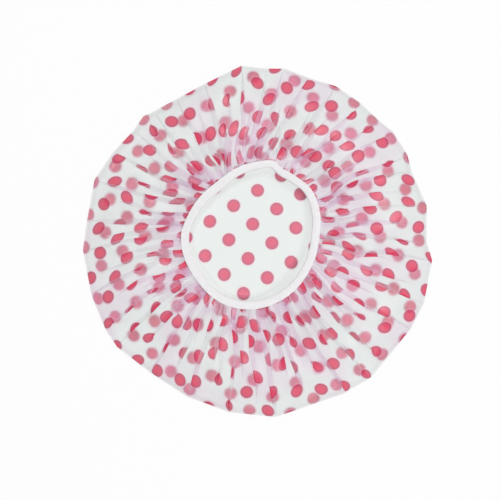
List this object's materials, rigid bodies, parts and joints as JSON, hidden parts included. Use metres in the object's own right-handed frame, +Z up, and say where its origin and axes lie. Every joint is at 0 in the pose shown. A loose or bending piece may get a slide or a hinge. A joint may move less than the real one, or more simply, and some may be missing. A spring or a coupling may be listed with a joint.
{
  "type": "shower cap",
  "caption": "Frosted film shower cap with printed polka dots, gathered into an elastic mouth bound in white tape, lying crown down.",
  "frame": {"origin": "on the table under the middle of the cap's laid outline, at the outside of the crown", "axes": "+Z up out of the table, out through the gathered mouth; +X to the right and +Y to the top of the laid cap as it is seen from above"},
  "size_m": [0.2932, 0.295, 0.0293],
  "materials": {
    "printed_film": "frosted see-through plastic film, printed with pink-red dots",
    "binding_tape": "smooth white stretch tape",
    "elastic": "flat covered elastic",
    "thread": "white sewing thread"
  },
  "bodies": {
    "root": {"cap_film": "printed_film", "hem_binding": "binding_tape", "elastic_band": "elastic", "elastic_join_thread": "thread", "needle_thread": "thread", "bobbin_thread": "thread"}
  },
  "joints": []
}
